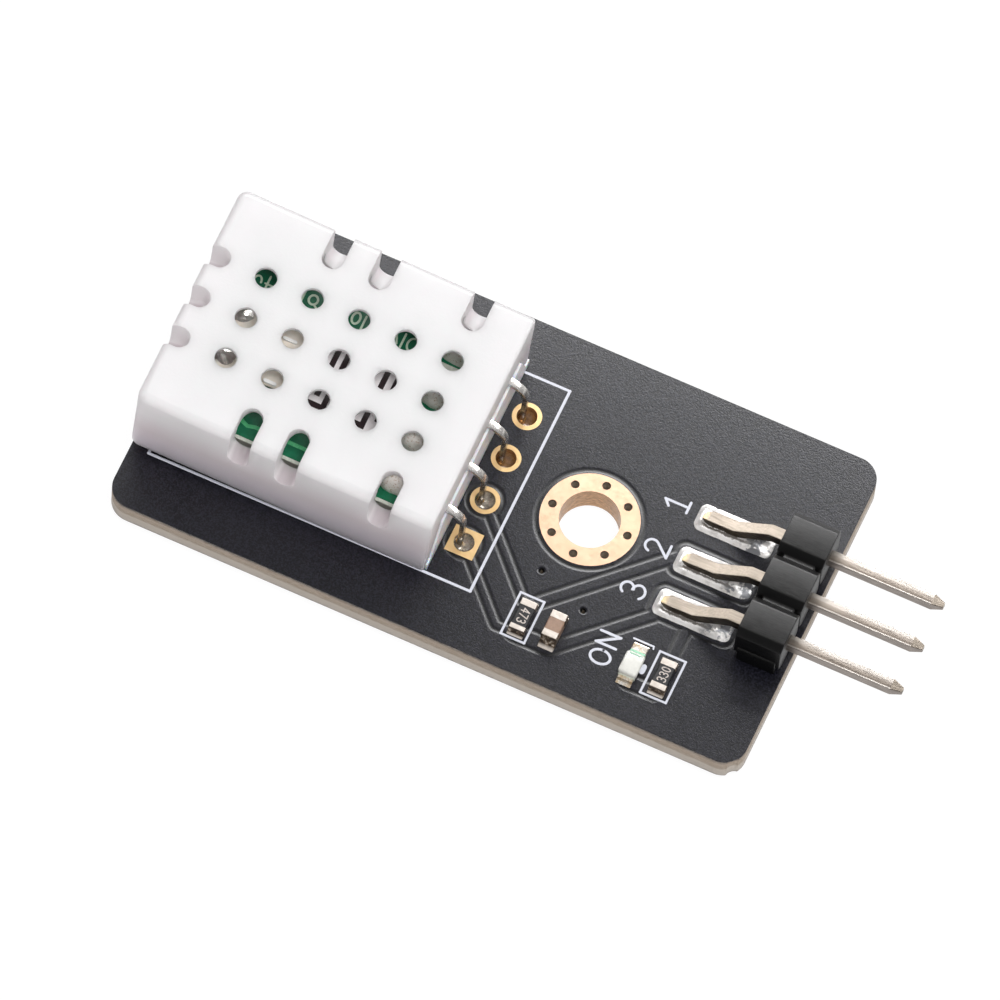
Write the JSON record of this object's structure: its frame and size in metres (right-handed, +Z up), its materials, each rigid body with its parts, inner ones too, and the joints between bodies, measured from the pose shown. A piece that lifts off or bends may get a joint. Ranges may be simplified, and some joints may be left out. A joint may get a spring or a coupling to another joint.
{
  "type": "temperature and humidity sensor module",
  "caption": "Small black circuit module with a white vented temperature and humidity sensor, a mounting hole and a right angle pin header.",
  "frame": {"origin": "centre of the mounting hole, in the plane of the board's underside", "axes": "+X along the board from the sensor towards the header pins, +Y across the board away from the chip parts, +Z up out of the component face"},
  "size_m": [0.0404, 0.0182, 0.0084],
  "materials": {
    "pcb": "satin black solder mask on glass epoxy laminate",
    "gold_plating": "thin gold plating",
    "shell": "satin moulded white",
    "base": "pale potting resin",
    "sensor_board": "green solder mask",
    "chip_black": "satin black",
    "thermistor": "glazed",
    "ceramic": "fine matt ceramic",
    "electrode": "matt carbon print",
    "tinned_leg": "tinned",
    "solder": "satin solder",
    "chip_end": "tinned, with solder",
    "capacitor": "fired ceramic",
    "led_base": "white laminate",
    "led_lens": "clear resin over white",
    "header_black": "moulded nylon",
    "pin": "thin gold over nickel"
  },
  "bodies": {
    "root": {"pcb": "pcb", "mounting_ring": "gold_plating", "sensor_shell": "shell", "sensor_base": "base", "sensor_board": "sensor_board", "sensor_chip": "chip_black", "thermistor": "thermistor", "humidity_element": "ceramic", "element_comb_1": "electrode", "element_comb_2": "electrode", "element_lead_1": "tinned_leg", "element_lead_2": "tinned_leg", "sensor_leg_1": "tinned_leg", "leg_joint_1": "solder", "leg_pad_1": "gold_plating", "leg_solder_1": "solder", "sensor_leg_2": "tinned_leg", "leg_joint_2": "solder", "leg_pad_2": "gold_plating", "leg_solder_2": "solder", "sensor_leg_3": "tinned_leg", "leg_joint_3": "solder", "leg_pad_3": "gold_plating", "leg_solder_3": "solder", "sensor_leg_4": "tinned_leg", "leg_joint_4": "solder", "leg_pad_4": "gold_plating", "leg_solder_4": "solder", "resistor_1_body": "chip_black", "resistor_1_end_1": "chip_end", "resistor_1_end_2": "chip_end", "resistor_2_body": "chip_black", "resistor_2_end_1": "chip_end", "resistor_2_end_2": "chip_end", "capacitor_body": "capacitor", "capacitor_end_1": "chip_end", "capacitor_end_2": "chip_end", "led_base": "led_base", "led_lens": "led_lens", "led_end_1": "gold_plating", "led_end_2": "gold_plating", "header_body": "header_black", "header_pin_1": "pin", "header_pad_1": "gold_plating", "header_solder_1": "solder", "header_pin_2": "pin", "header_pad_2": "gold_plating", "header_solder_2": "solder", "header_pin_3": "pin", "header_pad_3": "gold_plating", "header_solder_3": "solder"}
  },
  "joints": []
}
